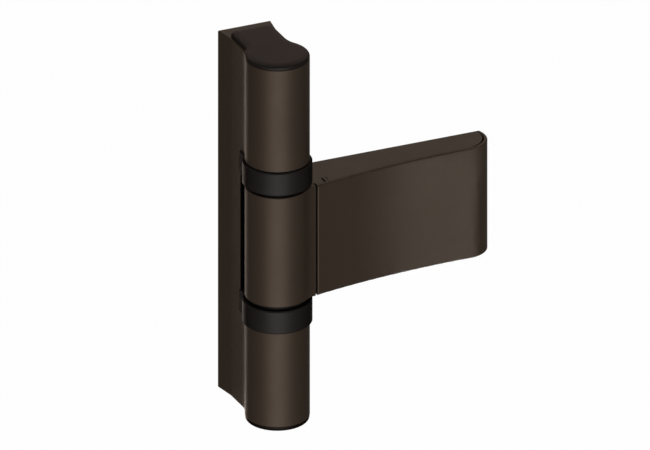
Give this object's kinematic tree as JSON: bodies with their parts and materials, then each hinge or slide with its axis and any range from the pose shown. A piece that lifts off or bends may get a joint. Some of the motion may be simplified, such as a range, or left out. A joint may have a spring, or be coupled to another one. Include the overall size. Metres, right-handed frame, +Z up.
{
  "type": "pvc door hinge",
  "caption": "Surface-mounted three-knuckle door hinge with a slide-on leaf cover, flanged bushes, and height and sideways adjustment.",
  "frame": {"origin": "middle of the line of frame fixing holes, on the face of the frame profile that lies on the door frame", "axes": "+Y into the door frame, +Z up along the pin, +X from the pin towards the leaf's nose"},
  "size_m": [0.0839, 0.0358, 0.1239],
  "materials": {
    "bronze_coat": "satin dark bronze powder coat on extruded aluminium",
    "cap_plastic": "fine matt, dark brown",
    "bush_plastic": "satin black bearing plastic",
    "plated_steel": "zinc plated",
    "ground_steel": "ground stainless steel"
  },
  "bodies": {
    "frame_side": {"frame_profile": "bronze_coat", "upper_bush": "bush_plastic", "lower_bush": "bush_plastic", "top_cap": "cap_plastic", "bottom_cap": "cap_plastic"},
    "thrust_bearing": {"thrust_ball": "ground_steel"},
    "height_screw": {"height_screw": "plated_steel"},
    "leaf": {"leaf_body": "bronze_coat", "hinge_pin": "ground_steel", "upper_pin_screw": "plated_steel", "lower_pin_screw": "plated_steel"},
    "cover": {"leaf_cover": "bronze_coat"},
    "sash_plate": {"fixing_plate": "plated_steel", "upper_clamp_screw": "plated_steel", "lower_clamp_screw": "plated_steel", "upper_clamp_washer": "plated_steel", "lower_clamp_washer": "plated_steel"},
    "lateral_screw": {"lateral_screw": "plated_steel", "lateral_screw_clip": "ground_steel"}
  },
  "joints": [
    {"name": "height_adjust", "type": "slide", "parent": "frame_side", "child": "thrust_bearing", "axis": [0, 0, 1], "range_m": [-0.0009, 0.0009]},
    {"name": "height_screw_turn", "type": "hinge", "parent": "thrust_bearing", "child": "height_screw", "pos_m": [0, -0.025, -0.047], "axis": [0, 0, 1], "range_deg": [-190, 190]},
    {"name": "leaf_swing", "type": "hinge", "parent": "thrust_bearing", "child": "leaf", "pos_m": [0, -0.025, 0], "axis": [0, 0, -1], "range_deg": [0, 180]},
    {"name": "lateral_adjust", "type": "slide", "parent": "leaf", "child": "sash_plate", "axis": [1, 0, 0], "range_m": [-0.0025, 0.0025]},
    {"name": "lateral_screw_turn", "type": "hinge", "parent": "leaf", "child": "lateral_screw", "pos_m": [0.06, -0.0195, 0], "axis": [1, 0, 0], "range_deg": [-1130, 1130]},
    {"name": "cover_slide", "type": "slide", "parent": "leaf", "child": "cover", "axis": [0, 0, 1], "range_m": [0, 0.038]}
  ],
  "couplings": [
    {"joint": "height_screw_turn", "follows": "height_adjust", "rad_per_m": 3590.4},
    {"joint": "lateral_screw_turn", "follows": "lateral_adjust", "rad_per_m": -7854}
  ]
}
